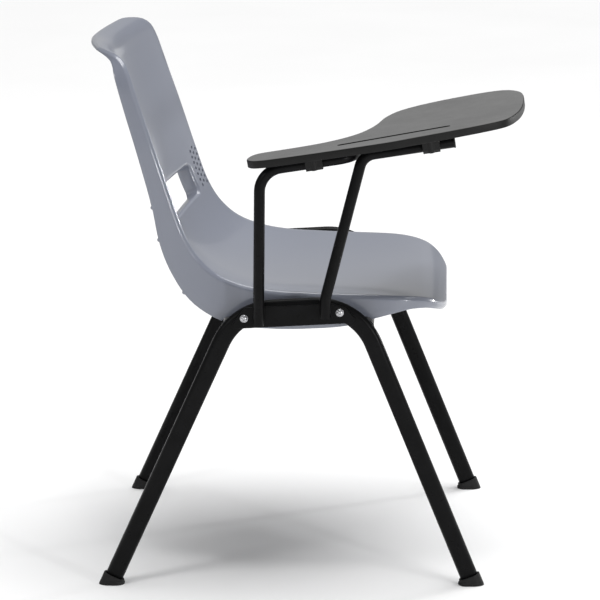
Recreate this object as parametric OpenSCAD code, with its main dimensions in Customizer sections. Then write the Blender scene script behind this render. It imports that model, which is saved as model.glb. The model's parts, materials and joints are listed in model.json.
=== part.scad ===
// Student chair with a moulded shell, bent-tube leg arches and a flip-up tablet arm.
// Millimetres. +Z up, the sitter faces -Y, the tablet is on the sitter's right (-X).
// The origin is on the floor, midway between the four feet.

/* [Legs] */
// Distance from the middle plane to the middle of each leg arch
arch_x = 246; // [240:1:260]
// Height of the arch tube's flat oval section
arch_tube_h = 28; // [24:1:30]
// Thickness of the arch tube's flat oval section
arch_tube_t = 16; // [14:1:18]
// Where the front leg's centre line meets the floor, ahead of the origin
front_foot_y = 283.5; // [270:0.5:295]
// Where the rear leg's centre line meets the floor, behind the origin
rear_foot_y = 285; // [270:0.5:295]
// Centre-line radius of the arch's two bends
arch_bend_r = 94; // [80:1:100]
// Outside diameter of the two cross tubes
cross_d = 25; // [22:0.5:26]

/* [Shell] */
// Half of the shell's width between its two side creases
shell_half_w = 214; // [206:1:216]
// Wall thickness of the shell
shell_t = 4; // [3:0.5:5]
// Outside radius of the crease between the pan and the skirt
crease_r = 7; // [6:0.5:9]
// Corner radius of the seat's front edge
front_corner_r = 108; // [96:1:114]
// Corner radius of the back's top edge
top_corner_r = 66; // [55:1:72]
// How much narrower each side of the back is at its top
top_taper = 10; // [0:1:14]
// Half of the width of the lumbar hand opening
slot_half_w = 179; // [172:1:181]

/* [Tablet arm] */
// Diameter of the arm's posts and rails
arm_d = 17; // [16:0.5:19]
// Thickness of the arm's side plate
plate_t = 3; // [2.5:0.5:4]
// Upward slope of the pivot rails towards the front, in degrees
rail_slope = 8.4; // [6:0.2:10]
// Height of the pivot axis above the origin
axis_z = 670.3; // [660:0.5:690]
// Thickness of the writing tablet
board_t = 12; // [10:0.5:13]
// Running clearance between a rail and its pivot block, on the radius
pivot_gap = 0.06; // [0.03:0.01:0.09]

/* [Hidden] */
$fn = 48;

black = [0.07, 0.07, 0.08];
plastic_black = [0.12, 0.12, 0.12];
shell_blue = [0.56, 0.60, 0.70];
zinc = [0.78, 0.78, 0.80];

// ---------- small helpers ----------
function unit(v) = v / norm(v);
// Where the line through p along d meets the line through q along e.
function meet(p, d, q, e) = p + d * cross(q - p, e) / cross(d, e);

// ---------- tubes that run straight and bend, followed like a pen ----------
// Each step is [length] or [bend angle, bend radius, roll about the heading].
// The children are the tube's section, with its x axis towards the inside of a bend.
// A bend draws the tube a hair thinner, and each straight reaches a little way into the bend.
// over is how far the run goes past its two free ends.
thinning = 0.02;
lap = 0.2;
module tube_run(steps, over, i = 0) {
    if (i < len(steps)) {
        s = steps[i];
        if (len(s) == 1) {
            before = i == 0 ? over : lap;
            after = i == len(steps) - 1 ? over : lap;
            $thinner = 0;
            translate([0, 0, -before]) linear_extrude(s[0] + before + after) children();
            translate([0, 0, s[0]]) tube_run(steps, over, i + 1) children();
        } else rotate([0, 0, s[2]]) {
            $thinner = thinning;
            translate([s[1], 0, 0]) rotate([90, 0, 180])
                rotate_extrude(angle = s[0], $fn = 96) translate([s[1], 0]) children();
            translate([s[1] * (1 - cos(s[0])), 0, s[1] * sin(s[0])]) rotate([0, s[0], 0])
                rotate([0, 0, -s[2]]) tube_run(steps, over, i + 1) children();
        }
    }
}
// Turns the pen so that it starts upwards and an unrolled bend leads forward.
module facing_forward(lean) { rotate([0, 0, -90]) rotate([0, lean, 0]) children(); }

module flat_oval(w, t) {
    for (s = [-1, 1]) translate([s * (w - t) / 2, 0]) circle(d = t);
    square([w - t, t], center = true);
}
arch_wall = 1.6;
module arch_tube(steps) {
    difference() {
        tube_run(steps, 0) flat_oval(arch_tube_h - $thinner, arch_tube_t - $thinner);
        tube_run(steps, 1)
            flat_oval(arch_tube_h - 2 * arch_wall - $thinner, arch_tube_t - 2 * arch_wall - $thinner);
    }
}
arm_wall = 1.5;
module arm_tube(steps) {
    difference() {
        tube_run(steps, 0) circle(d = arm_d - $thinner);
        tube_run(steps, 1) circle(d = arm_d - 2 * arm_wall - $thinner);
    }
}

// ---------- leg arches, in the Y-Z plane ----------
// Corners where the straight centre lines of the legs and the top run would meet.
arch_front = [-107.5, 452.4];
arch_rear = [78.6, 443.4];
leg_end_z = 6;
front_foot = [-front_foot_y, 0];
rear_foot = [rear_foot_y, 0];
rear_dir = unit(arch_rear - rear_foot);
front_dir = unit(front_foot - arch_front);
top_dir = unit(arch_front - arch_rear);
rear_lean = atan2(-rear_dir.x, rear_dir.y);
rear_turn = acos(rear_dir * top_dir);
front_turn = acos(top_dir * front_dir);
rear_cut = arch_bend_r * tan(rear_turn / 2);
front_cut = arch_bend_r * tan(front_turn / 2);
rear_start = rear_foot + rear_dir * (leg_end_z / rear_dir.y);
front_stop = front_foot - front_dir * (leg_end_z / -front_dir.y);

// Middle of each bend's circle, and a point on its centre line at an angle from +Y.
rear_bend_c = arch_rear - rear_dir * rear_cut + arch_bend_r * [-rear_dir.y, rear_dir.x];
front_bend_c = arch_front + front_dir * front_cut - arch_bend_r * [front_dir.y, -front_dir.x];
function on_bend(c, a) = c + arch_bend_r * [cos(a), sin(a)];
rear_cross = on_bend(rear_bend_c, 40);
front_cross = on_bend(front_bend_c, 143);
rear_bolt = on_bend(rear_bend_c, 59);
front_bolt = on_bend(front_bend_c, 113);

module arch(side) {
    translate([side * arch_x, rear_start.x, rear_start.y]) facing_forward(rear_lean)
        arch_tube([[norm(arch_rear - rear_start) - rear_cut], [rear_turn, arch_bend_r, 0],
            [norm(arch_front - arch_rear) - rear_cut - front_cut], [front_turn, arch_bend_r, 0],
            [norm(front_stop - arch_front) - front_cut]]);
}
// A hole or a pin across the frame, along X, through a point in the Y-Z plane.
module along_x(p, x0, x1, r) {
    translate([x0, p.x, p.y]) rotate([0, 90, 0]) cylinder(r = r, h = x1 - x0);
}

nut_r = 4.5;
module right_leg_arch() {
    color(black) difference() {
        arch(-1);
        for (p = [rear_bolt, front_bolt]) along_x(p, -arch_x - arch_tube_t, -arch_x, nut_r + 0.05);
    }
}
module left_leg_arch() { color(black) arch(1); }

// ---------- cross tubes and the screws that hold the shell down on them ----------
cross_half = arch_x - arch_tube_t / 2;
cross_wall = 1.8;
screw_x = 110;
module cross_tube(p) {
    color(black) difference() {
        union() {
            along_x(p, -cross_half, cross_half, cross_d / 2);
            for (s = [-1, 1]) translate([s * (cross_half - 1.2), p.x, p.y]) rotate([0, 90, 0])
                rotate_extrude() translate([cross_d / 2, 0]) circle(r = 1.2, $fn = 24);
        }
        along_x(p, -cross_half - 1, cross_half + 1, cross_d / 2 - cross_wall);
        for (s = [-1, 1]) translate([s * screw_x, p.x, 0]) {
            translate([0, 0, p.y]) cylinder(r = 3.2, h = cross_d);
            translate([0, 0, p.y - cross_d]) cylinder(r = 7, h = cross_d);
        }
    }
}
module front_cross_tube() { cross_tube(front_cross); }
module rear_cross_tube() { cross_tube(rear_cross); }

screw_r = 2.9;
head_top = 1.6;
module at_shell_screws() {
    for (p = [front_cross, rear_cross], s = [-1, 1])
        translate([s * screw_x, p.x, p.y + cross_d / 2 - cross_wall]) children();
}
washer_t = 1.2;
// The washer lies flat against the highest line inside the tube, where its rim would foul the wall
// if it were wider.
seat_drop = cross_d / 2 - cross_wall - sqrt(pow(cross_d / 2 - cross_wall, 2) - pow(5, 2));
module shell_screws() {
    color(zinc) at_shell_screws() translate([0, 0, -seat_drop - washer_t]) {
        cylinder(r = screw_r, h = 15 + seat_drop);
        difference() {
            translate([0, 0, -3.4]) cylinder(r = 4.8, h = 3.4);
            translate([0, 0, -3.5]) cylinder(r = 2.3, h = 2.2, $fn = 6);
        }
    }
}
module shell_washers() {
    color(zinc) at_shell_screws() translate([0, 0, -seat_drop - washer_t]) difference() {
        cylinder(r = 5, h = washer_t);
        translate([0, 0, -1]) cylinder(r = screw_r + 0.1, h = 4);
    }
}

// ---------- glide boots on the leg ends ----------
boot_wall = 3.2;
boot_len = 15;
module glide(side, foot, lean) {
    inward = foot.x > 0 ? -1 : 1;
    color(plastic_black) difference() {
        union() {
            intersection() {
                translate([side * arch_x, foot.x, 0]) facing_forward(lean) translate([0, 0, -20])
                    linear_extrude(20 + boot_len)
                        flat_oval(arch_tube_h + 2 * boot_wall, arch_tube_t + 2 * boot_wall);
                translate([side * arch_x - 30, foot.x - 50, 0]) cube([60, 100, 60]);
            }
            translate([side * arch_x, foot.x + inward * 3.5, 0]) rotate([0, 0, 90])
                linear_extrude(4) flat_oval(38, 25);
        }
        translate([side * arch_x, foot.x, 0]) facing_forward(lean)
            translate([0, 0, leg_end_z / cos(lean)]) linear_extrude(60)
                flat_oval(arch_tube_h + 0.1, arch_tube_t + 0.1);
    }
}
module front_right_glide() { glide(-1, front_foot, -front_lean_up); }
module front_left_glide() { glide(1, front_foot, -front_lean_up); }
module rear_right_glide() { glide(-1, rear_foot, rear_lean); }
module rear_left_glide() { glide(1, rear_foot, rear_lean); }
front_lean_up = atan2(-front_dir.x, -front_dir.y);

// ---------- shell ----------
// Stations along the side crease, from the front lip up to the top lip:
// [y, z, depth of the skirt, how far the pan's middle is dished below the crease]
stations = [
    [-243.5, 428, 11, 2], [-229, 441.5, 13, 4], [-211, 451, 16, 6], [-186, 456, 20, 10],
    [-142, 459, 34, 14], [-93, 461, 49, 17], [-35, 463.5, 56, 19], [25, 467.5, 60, 22],
    [72, 477, 64, 26], [110, 494, 59, 33], [138, 521, 48.5, 41], [157.5, 556, 41, 46],
    [174.5, 607, 33, 48], [200, 689, 28, 47], [224, 764, 25, 46], [236, 804, 23, 45],
    [241, 820, 19, 44], [250, 831, 13, 43], [266, 838, 6, 42]];
station_n = len(stations);
function st_p(i) = [stations[i][0], stations[i][1]];
function gap_after(i) = i < station_n - 1 ? norm(st_p(i + 1) - st_p(i)) : 0;
chord = [for (i = 0, s = 0; i < station_n; s = s + gap_after(i), i = i + 1) s];
profile_len = chord[station_n - 1];
function span_of(s, i = 0) = i >= station_n - 2 || s < chord[i + 1] ? i : span_of(s, i + 1);
function slope_at(i) = i == 0 ? (stations[1] - stations[0]) / (chord[1] - chord[0])
    : i == station_n - 1 ? (stations[i] - stations[i - 1]) / (chord[i] - chord[i - 1])
    : (stations[i + 1] - stations[i - 1]) / (chord[i + 1] - chord[i - 1]);
// Smooth curve through the stations (cubic, with the slope of each station's neighbours).
function profile(s) = let (i = span_of(s), h = chord[i + 1] - chord[i], u = (s - chord[i]) / h)
    stations[i] * (2 * u * u * u - 3 * u * u + 1) + stations[i + 1] * (3 * u * u - 2 * u * u * u)
    + slope_at(i) * h * (u * u * u - 2 * u * u + u) + slope_at(i + 1) * h * (u * u * u - u * u);
function tangent(s) = let (a = profile(max(s - 1, 0)), b = profile(min(s + 1, profile_len)))
    unit([b[0] - a[0], b[1] - a[1]]);

// Half width of the pan at a distance s along the profile: its straight sides draw in up the back,
// and both ends have rounded corners.
taper_start = 593;
function side_w(s) = shell_half_w - top_taper * max(0, s - taper_start) / (profile_len - taper_start);
function corner(r, d) = d >= r ? 0 : r - sqrt(r * r - (r - d) * (r - d));
function half_w(s) = side_w(s) - corner(front_corner_r, s) - corner(top_corner_r, profile_len - s);
// How far along a corner arc the edge points towards the shell's end: -1 front, 1 top, 0 side.
function end_lean(s) = s < front_corner_r ? -(front_corner_r - s) / front_corner_r
    : s > profile_len - top_corner_r ? (s - profile_len + top_corner_r) / top_corner_r : 0;

// A point of the sitter's side of the pan, at x, and the pan's unit normal there.
// Across the seat the dish has a flat middle, and across the back it is nearer to straight flanks.
// It keeps one direction over the front lip, and turns a little upwards over the top lip.
seat_power = 2.3;
back_power = 1.65;
function dish_power(s) = let (k = min(max((s - 293) / 120, 0), 1))
    seat_power + (back_power - seat_power) * k * k * (3 - 2 * k);
crown_len = 62;
crown_turn = 8;
function dish_dir(s) = let (t = tangent(min(max(s, 50), profile_len - crown_len)),
    k = max(0, s - profile_len + crown_len) / crown_len, a = crown_turn * k * k * (3 - 2 * k))
    [t.y * cos(a) + t.x * sin(a), -t.x * cos(a) + t.y * sin(a)];
function pan(s, x) = let (p = profile(s), n = dish_dir(s),
    d = p[3] * (1 - pow(min(abs(x) / side_w(s), 1), dish_power(s)))) [x, p[0] + n.x * d, p[1] + n.y * d];
function pan_normal(s, x) = let (a = pan(max(s - 2, 0), x), b = pan(min(s + 2, profile_len), x),
    c = pan(s, x - 2), e = pan(s, x + 2)) unit(cross(e - c, b - a));

// Rows along the profile: arcs of equal angle in the corners, the slot's own edges, even steps between.
slot_s = [430, 488];
row_step = 24;
corner_steps = 6;
function steps_between(a, b) = let (n = max(1, round((b - a) / row_step)))
    [for (i = [1:n]) a + (b - a) * i / n];
rows = concat([for (i = [0:corner_steps]) front_corner_r * (1 - cos(90 * i / corner_steps))],
    steps_between(front_corner_r, slot_s[0]), steps_between(slot_s[0], slot_s[1]),
    steps_between(slot_s[1], profile_len - top_corner_r),
    [for (i = [1:corner_steps]) profile_len - top_corner_r * (1 - sin(90 * i / corner_steps))]);
slot_t = slot_half_w / shell_half_w;
half_cols = [0.16, 0.32, 0.48, 0.64, slot_t, 0.9, 1];
cols = concat([for (i = [len(half_cols) - 1:-1:0]) -half_cols[i]], [0], half_cols);
row_n = len(rows);
col_n = len(cols);
slot_rows = [search_row(slot_s[0]), search_row(slot_s[1])];
slot_cols = [2, col_n - 3];
function search_row(s, i = 0) = abs(rows[i] - s) < 0.01 || i >= row_n - 1 ? i : search_row(s, i + 1);

front_face = [for (s = rows) for (t = cols) pan(s, t * half_w(s))];
rear_face = [for (s = rows) for (t = cols) pan(s, t * half_w(s)) - shell_t * pan_normal(s, t * half_w(s))];
function vid(j, i) = j * col_n + i;

// The pan's outer edge as a loop of [row, column], anticlockwise seen from the sitter's side.
edge_loop = concat([for (i = [0:col_n - 1]) [0, i]], [for (j = [1:row_n - 1]) [j, col_n - 1]],
    [for (i = [col_n - 2:-1:0]) [row_n - 1, i]], [for (j = [row_n - 2:-1:1]) [j, 0]]);
slot_loop = concat([for (i = [slot_cols[0]:slot_cols[1]]) [slot_rows[0], i]],
    [for (j = [slot_rows[0] + 1:slot_rows[1]]) [j, slot_cols[1]]],
    [for (i = [slot_cols[1] - 1:-1:slot_cols[0]]) [slot_rows[1], i]],
    [for (j = [slot_rows[1] - 1:-1:slot_rows[0] + 1]) [j, slot_cols[0]]]);

// Unit direction that points out of the pan across its edge, within the pan's surface.
function edge_out(j, i) = let (s = rows[j], e = end_lean(s), t = tangent(s), side = sign(cols[i]),
    a = j == 0 ? -1 : j == row_n - 1 ? 1 : e, c = sqrt(max(0, 1 - a * a))) unit([side * c, a * t.x, a * t.y]);
function slot_out(j, i) = let (t = tangent(rows[j]),
    a = j == slot_rows[0] ? 1 : j == slot_rows[1] ? -1 : 0,
    b = i == slot_cols[0] ? 1 : i == slot_cols[1] ? -1 : 0) [b, a * t.x, a * t.y];
function skirt_normal(s) = let (t = tangent(s)) [0, -t.y, t.x];

// A turned edge: round the crease, then straight back for the skirt's depth, and home inside it.
// Each entry is [distance outwards, distance back] from the crease's start.
draft = 0.045;
function turn_outside(r, d) = concat([for (a = [30, 60, 90]) [r * sin(a), r * (1 - cos(a))]],
    [[r + draft * d / 2, r + d / 2], [r + draft * d, r + d]]);
function turn_inside(r, d) = concat(
    [[r + draft * d - shell_t, r + d], [r + draft * d / 2 - shell_t, r + d / 2]],
    [for (a = [90, 60, 30]) [(r - shell_t) * sin(a), r - (r - shell_t) * cos(a)]]);
function turned(r, d) = concat(turn_outside(r, d), turn_inside(r, d));
turn_n = len(turned(1, 1));

edge_strips = [for (k = [0:turn_n - 1]) for (e = edge_loop) let (s = rows[e[0]], d = profile(s)[2],
    q = turned(crease_r, max(d - crease_r, 0.5))[k], b = front_face[vid(e[0], e[1])])
    b + q[0] * edge_out(e[0], e[1]) - q[1] * skirt_normal(s)];
slot_r = 6;
// The collar round the hand opening is deepest at its two ends.
function slot_depth(x) = 15 + 11 * pow(x / slot_half_w, 2);
slot_strips = [for (k = [0:turn_n - 1]) for (e = slot_loop) let (s = rows[e[0]],
    b = front_face[vid(e[0], e[1])], q = turned(slot_r, slot_depth(b.x) - slot_r)[k])
    b + (q[0] - draft * 2 * max(q[1] - slot_r, 0)) * slot_out(e[0], e[1]) - q[1] * skirt_normal(s)];

face_n = row_n * col_n;
edge_n = len(edge_loop);
slot_n = len(slot_loop);
edge_base = 2 * face_n;
slot_base = edge_base + turn_n * edge_n;
function in_slot(j, i) = j >= slot_rows[0] && j < slot_rows[1] && i >= slot_cols[0] && i < slot_cols[1];
function quad(a, b, c, d) = [[a, b, c], [a, c, d]];
pan_faces = [for (j = [0:row_n - 2]) for (i = [0:col_n - 2]) if (!in_slot(j, i))
    for (f = quad(vid(j, i), vid(j + 1, i), vid(j + 1, i + 1), vid(j, i + 1))) f];
back_faces = [for (f = pan_faces) [for (k = [2:-1:0]) f[k] + face_n]];
// Vertex number of ring k around a loop: ring 0 is the front face's edge, the last is the rear face's.
function ring(loop, base, n, k, m) = k == 0 ? vid(loop[m % n][0], loop[m % n][1])
    : k == turn_n + 1 ? face_n + vid(loop[m % n][0], loop[m % n][1]) : base + (k - 1) * n + m % n;
function strip_faces(loop, base, n, flip) = [for (k = [0:turn_n]) for (m = [0:n - 1])
    for (f = quad(ring(loop, base, n, k, m), ring(loop, base, n, k, m + 1),
        ring(loop, base, n, k + 1, m + 1), ring(loop, base, n, k + 1, m)))
        flip ? [f[2], f[1], f[0]] : f];

module shell_skin() {
    polyhedron(concat(front_face, rear_face, edge_strips, slot_strips),
        concat(pan_faces, back_faces, strip_faces(edge_loop, edge_base, edge_n, false),
            strip_faces(slot_loop, slot_base, slot_n, true)), convexity = 10);
}

// Bosses under the pan that stand on the cross tubes, cut off inside the pan's wall.
boss_r = 9;
tube_fit = 0.02;
function boss_s(p, s = 60) = pan(s, screw_x).y >= p.x ? s : boss_s(p, s + 1);
function pan_turn(s, x) = let (n = pan_normal(s, x)) [0, acos(n[2]), atan2(n[1], n[0])];
module shell_bosses() {
    for (p = [front_cross, rear_cross], side = [-1, 1]) let (s = boss_s(p)) difference() {
        translate([side * screw_x, p.x, p.y]) cylinder(r = boss_r, h = 60, $fn = 32);
        translate(pan(s, side * screw_x)) rotate(pan_turn(s, side * screw_x))
            translate([-60, -60, -shell_t / 2]) cube([120, 120, 90]);
    }
}
notch_gap = 2.5;
module tube_notches() {
    for (p = [front_cross, rear_cross], s = [-1, 1]) hull() {
        along_x(p, s * 190 - 45, s * 190 + 45, cross_d / 2 + notch_gap);
        along_x([p.x, p.y - 40], s * 190 - 45, s * 190 + 45, cross_d / 2 + notch_gap);
    }
    for (p = [front_cross, rear_cross]) along_x(p, -150, 150, cross_d / 2 + tube_fit);
    at_shell_screws() cylinder(r = screw_r + 0.1, h = 16, $fn = 24);
}

// Vent holes in the strips beside the hand opening: three columns, the middle one staggered.
vent_rows = 7;
vent_r = 2.8;
vent_pitch = 9.8;
vent_start = 440.5;
vent_x = 190.5;
vent_gap = 9.2;
module vents() {
    for (side = [-1, 1], c = [0:2], k = [0:vent_rows - 1]) {
        s = vent_start + (k + (c == 1 ? 0.5 : 0)) * vent_pitch;
        x = side * (vent_x + c * vent_gap);
        translate(pan(s, x)) rotate(pan_turn(s, x)) translate([0, 0, -9])
            cylinder(r = vent_r, h = 14, $fn = 10);
    }
}

// Stacking nubs on the rear edge of each side skirt.
nub_s = [383.5, 452.5, 501];
nub_r = 3.2;
nub_inset = 1;
module stacking_nubs() {
    for (s = nub_s, side = [-1, 1]) {
        p = profile(s);
        n = skirt_normal(s);
        reach = crease_r + draft * (p[2] - crease_r) - shell_t;
        x0 = side > 0 ? shell_half_w + reach - 3 : -shell_half_w - reach - shell_t;
        centre = [p[0], p[1]] - [n[1], n[2]] * (p[2] - nub_inset);
        along_x(centre, x0, x0 + shell_t + 3, nub_r);
    }
}

module seat_shell() {
    // The resize changes nothing: it makes one mesh of the shell and its openings.
    color(shell_blue) resize([0, 0, 0]) difference() {
        union() {
            shell_skin();
            shell_bosses();
            stacking_nubs();
        }
        tube_notches();
        vents();
    }
}

// ---------- tablet arm frame ----------
plate_in = -arch_x - arch_tube_t / 2;
plate_out = plate_in - plate_t;
post_x = plate_out - arm_d / 2;
bolt_r = 3;
plate_edge = [[86, 416], [84, 424], [64, 450], [-70, 456], [-90, 449], [-106, 431], [-99, 425], [66, 417]];
rear_post = [[43, 424], [38.5, 606]];
front_post_foot = [-59.5, 435.5];
front_kink = [-59.5, 465];
front_post_lean = 14.9;
rear_bend_r = 38;
front_bend_r = 26;

// The pivot axis runs forward and up. Distances along it are counted from the plane Y = 0.
rail_dir = [-cos(rail_slope), sin(rail_slope)];
axis_0 = [0, axis_z];
rear_post_dir = unit(rear_post[1] - rear_post[0]);
front_post_dir = [-sin(front_post_lean), cos(front_post_lean)];
rear_corner = meet(rear_post[0], rear_post_dir, axis_0, rail_dir);
front_corner = meet(front_kink, front_post_dir, axis_0, rail_dir);
rest_bend_start = 81;
rest_bend_r = 28;
rest_end = 9;
rail_end = 258;

post_lean = atan2(-rear_post_dir.x, rear_post_dir.y);
rear_post_turn = 90 - rail_slope - post_lean;
front_post_turn = 90 - rail_slope - front_post_lean;
rear_post_cut = rear_bend_r * tan(rear_post_turn / 2);
front_post_cut = front_bend_r * tan(front_post_turn / 2);
function along_rail(p) = (p - axis_0) * rail_dir;
kink_r = 60;
kink_cut = kink_r * tan(front_post_lean / 2);

// The hole through a rail that its stop pin is pressed into.
module pin_hole(y) {
    on_axis() translate([-arm_d, y, 0]) rotate([0, 90, 0]) cylinder(r = pin_r + 0.02, h = 2 * arm_d);
}
module rear_arm_tube() {
    color(black) difference() {
        translate([post_x, rear_post[0].x, rear_post[0].y]) facing_forward(post_lean)
            arm_tube([[norm(rear_corner - rear_post[0]) - rear_post_cut], [rear_post_turn, rear_bend_r, 0],
                [rest_bend_start - along_rail(rear_corner) - rear_post_cut],
                [90, rest_bend_r, 90], [rest_end]]);
        pin_hole(rear_block_y);
    }
}
module front_arm_tube() {
    color(black) difference() {
        translate([post_x, front_post_foot.x, front_post_foot.y]) facing_forward(0)
            arm_tube([[front_kink.y - front_post_foot.y - kink_cut], [front_post_lean, kink_r, 0],
                [norm(front_corner - front_kink) - front_post_cut - kink_cut],
                [front_post_turn, front_bend_r, 0],
                [rail_end - along_rail(front_corner) - front_post_cut]]);
        pin_hole(front_block_y);
    }
}

module arm_side_plate() {
    color(black) difference() {
        union() {
            translate([plate_out, 0, 0]) rotate([90, 0, 90]) linear_extrude(plate_t)
                offset(r = 4) offset(delta = -4) polygon(plate_edge);
            post_welds();
        }
        for (p = [rear_bolt, front_bolt]) along_x(p, plate_out - 1, plate_in + 1, bolt_r + 0.3);
        along_x_posts(arm_d / 2 + 0.02);
    }
}
// Weld beads down both sides of each post, where it touches the plate.
weld_r = plate_t - 0.1;
module post_welds() {
    for (s = [-1, 1]) {
        translate([plate_out, rear_post[0].x + s * 4.6, rear_post[0].y + 2]) cylinder(r = weld_r, h = 24);
        translate([plate_out, front_post_foot.x + s * 4.6, front_post_foot.y + 2])
            cylinder(r = weld_r, h = 16);
    }
}
module along_x_posts(r) {
    translate([post_x, rear_post[0].x, rear_post[0].y]) facing_forward(post_lean)
        translate([0, 0, -5]) cylinder(r = r, h = 60);
    translate([post_x, front_post_foot.x, front_post_foot.y - 5]) cylinder(r = r, h = 28);
}

// ---------- bolts that hold the plate on the arch ----------
bolt_washer_t = 1.2;
module at_arm_bolts() {
    for (p = [rear_bolt, front_bolt]) translate([plate_out, p.x, p.y]) rotate([0, -90, 0]) children();
}
module arm_bolts() {
    color(zinc) at_arm_bolts() difference() {
        union() {
            translate([0, 0, bolt_washer_t]) intersection() {
                cylinder(r = 5.25, h = 3.3);
                translate([0, 0, -3.9]) sphere(r = 7.2);
            }
            translate([0, 0, bolt_washer_t - 14]) cylinder(r = bolt_r, h = 14.01);
        }
        translate([0, 0, bolt_washer_t + 1.3]) cylinder(r = 2.3, h = 4, $fn = 6);
    }
}
module arm_bolt_washers() {
    color(zinc) at_arm_bolts() difference() {
        cylinder(r = 6.2, h = bolt_washer_t);
        translate([0, 0, -1]) cylinder(r = bolt_r + 0.2, h = 4);
    }
}
module rivet_nuts() {
    color(zinc) at_arm_bolts() translate([0, 0, -plate_t]) difference() {
        union() {
            translate([0, 0, -11]) cylinder(r = nut_r, h = 11);
            translate([0, 0, -4.2]) cylinder(r = nut_r + 1.2, h = 2.4);
        }
        translate([0, 0, -12]) cylinder(r = bolt_r + 0.05, h = 13);
    }
}

// ---------- things on the pivot axis ----------
// Local frame: Y runs rearwards along the axis, X stays the row's X, Z is square to the tablet.
module on_axis() { translate([post_x, 0, axis_z]) rotate([-rail_slope, 0, 0]) children(); }
module axis_tube(y0, y1, r) { translate([0, y0, 0]) rotate([-90, 0, 0]) cylinder(r = r, h = y1 - y0); }

module front_rail_plug() {
    color(plastic_black) on_axis() {
        axis_tube(-rail_end - 2.5, -rail_end, arm_d / 2 + 0.6);
        axis_tube(-rail_end, -rail_end + 14, arm_d / 2 - arm_wall - 0.05);
    }
}
// Height of the board's underside above the pivot axis.
under = arm_d / 2 + 3;
cap_wall = under - arm_d / 2 - 0.1;
rest_y = -rest_bend_start - rest_bend_r;
module rest_buffer() {
    color(plastic_black) on_axis() translate([rest_bend_r, rest_y, 0]) rotate([0, 90, 0]) difference() {
        cylinder(r = arm_d / 2 + cap_wall, h = rest_end + 2.5);
        translate([0, 0, -1]) cylinder(r = arm_d / 2 + 0.02, h = rest_end + 1);
    }
}

// ---------- pivot blocks: a saddle round the rail, closed by a wear pad against the board ----------
rear_block_y = -46;
front_block_y = -224;
block_len = 26;
block_half = 16;
block_low = -9.5;
block_screw_x = 13.6;
bore_r = arm_d / 2 + pivot_gap;
pin_r = 1.5;
pad_split = 4;
module block_screw_places() { for (s = [-1, 1]) translate([s * block_screw_x, 0, 0]) children(); }
module pivot_block(y) {
    color(plastic_black) on_axis() translate([0, y, 0]) difference() {
        union() {
            rotate([90, 0, 0]) translate([0, 0, -block_len / 2]) linear_extrude(block_len)
                polygon([[-block_half, under], [-block_half, -5], [-block_half + 4, block_low],
                    [block_half - 4, block_low], [block_half, -5], [block_half, under]]);
            block_screw_places() translate([0, 0, block_low + 0.5])
                cylinder(r = 5, h = under - block_low - 0.5);
        }
        axis_tube(-block_len, block_len, bore_r);
        translate([-bore_r, -block_len, 0]) cube([2 * bore_r, 2 * block_len, 30]);
        stop_groove();
        block_screw_places() {
            translate([0, 0, block_low - 1]) cylinder(r = 2.2, h = 40);
            translate([0, 0, block_low - 1]) cylinder(r = 4.2, h = 4);
        }
    }
}
// Groove round the bore that the stop pin's ends turn in.
module stop_groove() { rotate([90, 0, 0]) translate([0, 0, -2]) cylinder(r = bore_r + 2.2, h = 4); }
module wear_pad(y) {
    color([0.85, 0.84, 0.8]) on_axis() translate([0, y, 0]) difference() {
        translate([-bore_r + 0.05, -block_len / 2, pad_split])
            cube([2 * bore_r - 0.1, block_len, under - pad_split]);
        axis_tube(-block_len, block_len, bore_r);
        stop_groove();
    }
}
module rear_pivot_block() { pivot_block(rear_block_y); }
module front_pivot_block() { pivot_block(front_block_y); }
module rear_wear_pad() { wear_pad(rear_block_y); }
module front_wear_pad() { wear_pad(front_block_y); }

module stop_pins() {
    color(zinc) on_axis() for (y = [rear_block_y, front_block_y])
        translate([-bore_r - 1.6, y, 0]) rotate([0, 90, 0]) cylinder(r = pin_r, h = 2 * bore_r + 3.2);
}
module pivot_screws() {
    color(zinc) on_axis() for (y = [rear_block_y, front_block_y]) translate([0, y, 0]) block_screw_places() {
        translate([0, 0, block_low + 3]) cylinder(r = 2, h = under - block_low + 2.5);
        translate([0, 0, block_low + 0.4]) cylinder(r = 3.9, h = 2.6);
    }
}

// ---------- tablet board ----------
// Outline seen from above, in the pivot's local frame: the armrest end is rounded, the inner side
// sweeps in to a wide writing surface, and the outer side bows gently.
board_points = [
    [-44, 14], [-47, -30], [-48.5, -90], [-48, -160], [-41, -205], [-32, -256], [-24.5, -292],
    [-13, -328], [1, -345], [30, -357], [60, -364], [100, -369], [150, -371.5], [185, -370.5],
    [210, -366], [234, -352.5], [246, -333], [247, -302], [242, -272], [234.5, -240], [219, -202],
    [196, -173], [160, -154], [117, -143], [83, -130], [56, -112], [38, -88], [27, -60], [22.5, -30],
    [21, 5], [20, 31], [13, 44], [-2, 51], [-19, 52], [-34, 44], [-41, 31]];
point_n = len(board_points);
curve_steps = 3;
function bp(i) = board_points[(i + point_n) % point_n];
function smooth(i, u) = let (p = bp(i), q = bp(i + 1), a = (q - bp(i - 1)) / 2, b = (bp(i + 2) - p) / 2)
    p * (2 * u * u * u - 3 * u * u + 1) + q * (3 * u * u - 2 * u * u * u)
    + a * (u * u * u - 2 * u * u + u) + b * (u * u * u - u * u);
board_edge = [for (i = [0:point_n - 1]) for (k = [0:curve_steps - 1]) smooth(i, k / curve_steps)];
edge_count = len(board_edge);
function inward(i) = let (next = board_edge[(i + 1) % edge_count],
    last = board_edge[(i - 1 + edge_count) % edge_count], d = unit(next - last)) [-d.y, d.x];
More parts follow.
